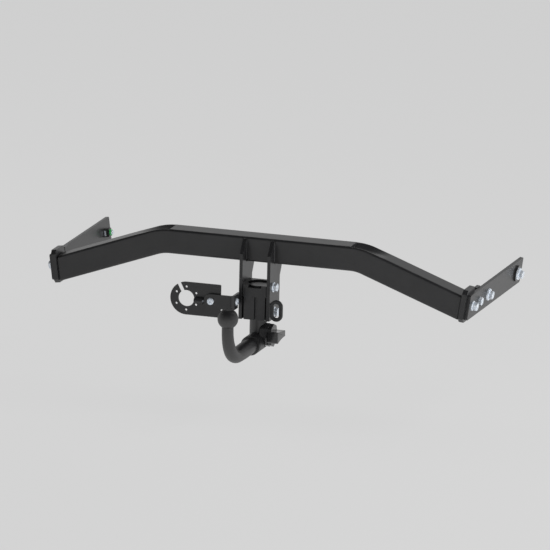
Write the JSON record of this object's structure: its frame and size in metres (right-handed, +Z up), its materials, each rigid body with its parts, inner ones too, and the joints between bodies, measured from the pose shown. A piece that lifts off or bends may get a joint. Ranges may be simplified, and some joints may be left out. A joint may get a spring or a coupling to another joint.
{
  "type": "detachable towbar",
  "caption": "Detachable towbar: bent square crossbeam with side plates, a receiver, a removable ball neck with a turning lock knob, and a swivelling socket plate.",
  "frame": {"origin": "midway between the two front chassis bolts, at the height of the bolts in the side plates", "axes": "+X to the vehicle's right, +Y forward under the vehicle, +Z up"},
  "size_m": [1.095, 0.6895, 0.2782],
  "materials": {
    "powder_coat": "satin",
    "forged_coat": "satin",
    "black_plastic": "moulded",
    "zinc_plate": "bright zinc",
    "bare_steel": "ground",
    "green_nylon": "moulded"
  },
  "bodies": {
    "frame": {"crossbeam": "powder_coat", "left_end_flange": "powder_coat", "right_end_flange": "powder_coat", "left_side_plate": "powder_coat", "right_side_plate": "powder_coat", "flange_bolts": "zinc_plate", "locating_bolts": "zinc_plate", "nut_plates": "powder_coat", "front_chassis_bolts": "zinc_plate", "rear_chassis_bolts": "zinc_plate", "chassis_washers": "black_plastic", "rear_blocks": "black_plastic", "rear_nuts": "zinc_plate", "nut_inserts": "green_nylon", "left_cheek": "powder_coat", "right_cheek": "powder_coat", "receiver": "powder_coat", "receiver_cap": "powder_coat", "receiver_bolts": "zinc_plate", "safety_eye": "powder_coat", "socket_lug": "powder_coat", "socket_bracket": "powder_coat", "lug_bolt": "zinc_plate", "lug_nut": "zinc_plate", "pivot_bolt": "zinc_plate", "pivot_spacer": "zinc_plate", "pivot_nut": "zinc_plate"},
    "neck": {"ball_neck": "forged_coat", "index_pin": "bare_steel", "lock_housing": "black_plastic", "lock_spring": "bare_steel"},
    "knob": {"lock_knob": "black_plastic", "lock_shaft": "bare_steel", "knob_pin": "bare_steel"},
    "rod": {"lock_rod": "bare_steel", "lock_yoke": "bare_steel"},
    "left_ball": {"left_lock_ball": "bare_steel"},
    "right_ball": {"right_lock_ball": "bare_steel"},
    "socket": {"socket_plate": "powder_coat", "detent_sleeve": "powder_coat"},
    "detent": {"detent_pin": "zinc_plate"}
  },
  "joints": [
    {"name": "neck_slide", "type": "slide", "parent": "frame", "child": "neck", "axis": [0, 0, -1], "range_m": [0, 0.12]},
    {"name": "knob_turn", "type": "hinge", "parent": "neck", "child": "knob", "pos_m": [0, -0.153, -0.114], "axis": [1, 0, 0], "range_deg": [0, 60]},
    {"name": "rod_lift", "type": "slide", "parent": "neck", "child": "rod", "axis": [0, 0, 1], "range_m": [0, 0.01], "deforming": ["lock_spring"]},
    {"name": "left_ball_slide", "type": "slide", "parent": "neck", "child": "left_ball", "axis": [-1, 0, 0], "range_m": [0, 0.0032]},
    {"name": "right_ball_slide", "type": "slide", "parent": "neck", "child": "right_ball", "axis": [1, 0, 0], "range_m": [0, 0.0032]},
    {"name": "socket_swivel", "type": "hinge", "parent": "frame", "child": "socket", "pos_m": [-0.0942, -0.23, -0.0232], "axis": [0, 1, 0], "range_deg": [0, 90]},
    {"name": "detent_slide", "type": "slide", "parent": "socket", "child": "detent", "axis": [-1, 0, 0], "range_m": [0, 0.004], "stiffness_N_per_m": 300}
  ],
  "couplings": [
    {"joint": "rod_lift", "follows": "knob_turn", "m_per_rad": 0.009549},
    {"joint": "left_ball_slide", "follows": "knob_turn", "m_per_rad": 0.0030557},
    {"joint": "right_ball_slide", "follows": "knob_turn", "m_per_rad": 0.0030557}
  ]
}
